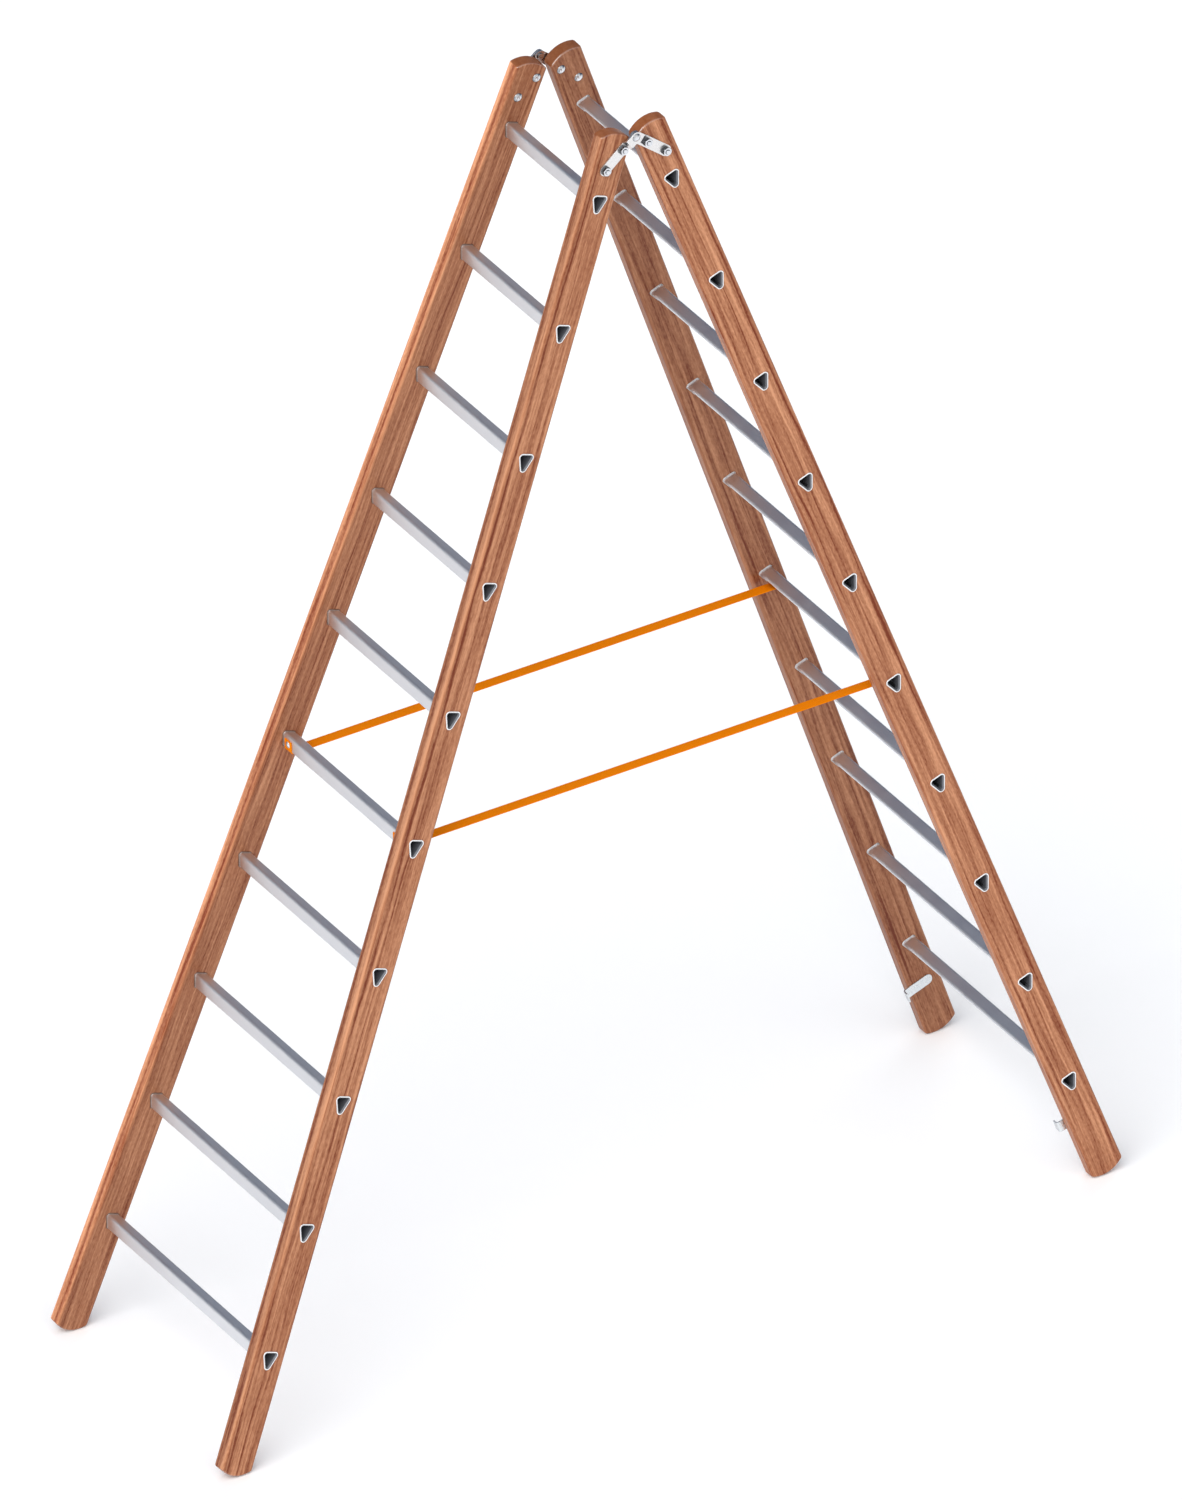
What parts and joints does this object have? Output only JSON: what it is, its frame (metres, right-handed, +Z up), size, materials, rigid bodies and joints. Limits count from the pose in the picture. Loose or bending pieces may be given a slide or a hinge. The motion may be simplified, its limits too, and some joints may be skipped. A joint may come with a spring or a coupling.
{
  "type": "double-sided stepladder",
  "caption": "Double-sided timber stepladder with hollow three-cornered aluminium rungs, riveted strap hinges at the top and webbing straps that limit its spread.",
  "frame": {"origin": "on the floor, midway between the four feet of the open ladder", "axes": "+X along the rungs to the picture's near side, +Y from the left section to the right one, +Z up"},
  "size_m": [0.6564, 2.1366, 2.7614],
  "materials": {
    "timber": "planed softwood, reddish clear varnish",
    "rung_aluminium": "extruded, mill finish",
    "zinc_steel": "bright zinc plated",
    "rivet_aluminium": "plain aluminium",
    "webbing": "woven orange polyester"
  },
  "bodies": {
    "left_section": {"left_near_stile": "timber", "left_far_stile": "timber", "left_rung_01": "rung_aluminium", "left_rung_02": "rung_aluminium", "left_rung_03": "rung_aluminium", "left_rung_04": "rung_aluminium", "left_rung_05": "rung_aluminium", "left_rung_06": "rung_aluminium", "left_rung_07": "rung_aluminium", "left_rung_08": "rung_aluminium", "left_rung_09": "rung_aluminium", "left_rung_10": "rung_aluminium", "left_near_hinge_leaf": "zinc_steel", "left_far_hinge_leaf": "zinc_steel", "left_near_hinge_bolts": "zinc_steel", "left_far_hinge_bolts": "zinc_steel", "left_near_hinge_nuts": "zinc_steel", "left_far_hinge_nuts": "zinc_steel", "near_strap": "webbing", "far_strap": "webbing", "left_strap_rivets": "rivet_aluminium"},
    "right_section": {"right_near_stile": "timber", "right_far_stile": "timber", "right_rung_01": "rung_aluminium", "right_rung_02": "rung_aluminium", "right_rung_03": "rung_aluminium", "right_rung_04": "rung_aluminium", "right_rung_05": "rung_aluminium", "right_rung_06": "rung_aluminium", "right_rung_07": "rung_aluminium", "right_rung_08": "rung_aluminium", "right_rung_09": "rung_aluminium", "right_rung_10": "rung_aluminium", "right_near_hinge_leaf": "zinc_steel", "right_far_hinge_leaf": "zinc_steel", "near_hinge_rivet": "zinc_steel", "far_hinge_rivet": "zinc_steel", "right_near_hinge_bolts": "zinc_steel", "right_far_hinge_bolts": "zinc_steel", "right_near_hinge_nuts": "zinc_steel", "right_far_hinge_nuts": "zinc_steel", "right_strap_rivets": "rivet_aluminium", "near_guide_plate": "zinc_steel", "far_guide_plate": "zinc_steel", "near_plate_screws": "zinc_steel", "far_plate_screws": "zinc_steel"}
  },
  "joints": [
    {"name": "fold", "type": "hinge", "parent": "left_section", "child": "right_section", "pos_m": [0, 0, 2.74201], "axis": [-1, 0, 0], "range_deg": [0, 40], "deforming": ["near_strap", "far_strap"]}
  ]
}
